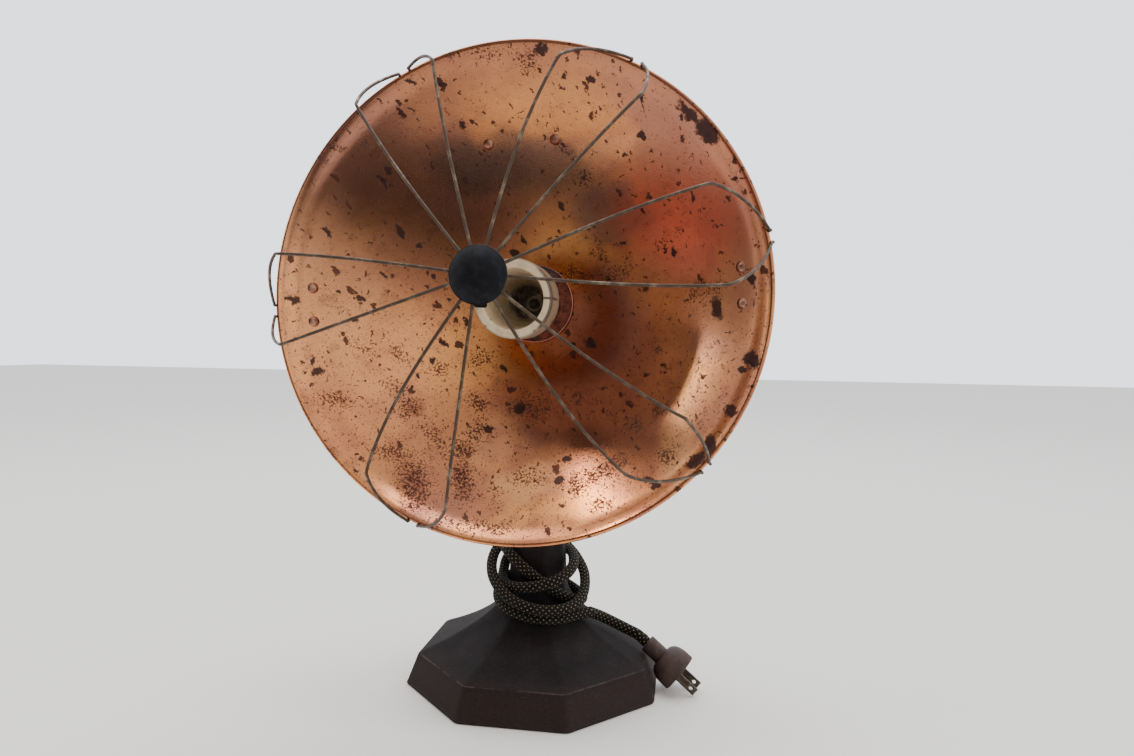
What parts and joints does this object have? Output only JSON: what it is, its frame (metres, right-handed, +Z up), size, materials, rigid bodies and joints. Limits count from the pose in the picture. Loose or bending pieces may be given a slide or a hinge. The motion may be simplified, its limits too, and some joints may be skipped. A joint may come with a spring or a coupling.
{
  "type": "dish heater",
  "caption": "Table-top electric dish heater: a tilting copper bowl with a wire guard and an empty screw socket, on a faceted cast foot with its cloth cord wound round the column.",
  "frame": {"origin": "centre of the foot's underside", "axes": "+Z up, the bowl looks along -Y with the tilt set as in the picture, +X to the right as seen from the front"},
  "size_m": [0.3448, 0.303, 0.4754],
  "materials": {
    "cast": "satin black paint, worn at the edges",
    "fibre_board": "matt pressed board",
    "black_steel": "black stove paint",
    "copper": "spun copper, tarnished in spots",
    "wire": "dull plated steel wire",
    "steel_hardware": "dull plated steel",
    "dark_screw": "dark oxidised steel",
    "brass": "aged brass with green bloom",
    "porcelain": "glazed, crazed and soiled",
    "plug_compound": "dull brown moulding",
    "black_moulding": "dull black moulding",
    "fibre": "hard fibre",
    "cloth": "braided cloth with pale flecks",
    "lead_cloth": "braided insulation",
    "grip_wood": "black-painted turned wood"
  },
  "bodies": {
    "stand": {"base_casting": "cast", "base_cover": "fibre_board", "yoke": "black_steel", "yoke_bolt": "steel_hardware", "yoke_washer": "steel_hardware", "pivot_washers": "steel_hardware", "cord_drop": "cloth", "cord_winding": "cloth", "cord_lead": "cloth", "plug_body": "plug_compound", "plug_disc": "fibre", "plug_blades": "brass"},
    "head": {"bowl": "copper", "rim_wire": "wire", "pivot_bracket_left": "black_steel", "pivot_bracket_right": "black_steel", "bracket_rivets": "copper", "pivot_nuts": "steel_hardware", "handle_strap": "black_steel", "handle_rivets": "copper", "handle_rod": "wire", "handle_grip": "grip_wood", "socket_collar": "copper", "collar_screws": "dark_screw", "socket_body": "porcelain", "screw_shell": "brass", "centre_contact": "brass", "terminal_screws": "brass", "socket_leads": "lead_cloth", "rear_cover": "black_steel", "cord_bushing": "black_moulding", "guard_hub": "black_steel", "guard_plate": "black_steel", "guard_stud": "steel_hardware", "guard_wire_1": "wire", "guard_wire_2": "wire", "guard_wire_3": "wire", "guard_wire_4": "wire", "guard_wire_5": "wire", "guard_wire_6": "wire", "guard_wire_7": "wire", "guard_wire_8": "wire", "guard_wire_9": "wire", "guard_wire_10": "wire", "guard_wire_11": "wire", "guard_wire_12": "wire"},
    "left_screw": {"thumb_screw_left": "brass"},
    "right_screw": {"thumb_screw_right": "brass"}
  },
  "joints": [
    {"name": "bowl_tilt", "type": "hinge", "parent": "stand", "child": "head", "pos_m": [0, -0.06793, 0.30247], "axis": [-1, 0, 0], "range_deg": [-25, 40]},
    {"name": "left_screw_turn", "type": "hinge", "parent": "head", "child": "left_screw", "pos_m": [-0.1554, -0.06793, 0.30247], "axis": [-1, 0, 0], "range_deg": [0, 360]},
    {"name": "right_screw_turn", "type": "hinge", "parent": "head", "child": "right_screw", "pos_m": [0.1554, -0.06793, 0.30247], "axis": [1, 0, 0], "range_deg": [0, 360]}
  ]
}
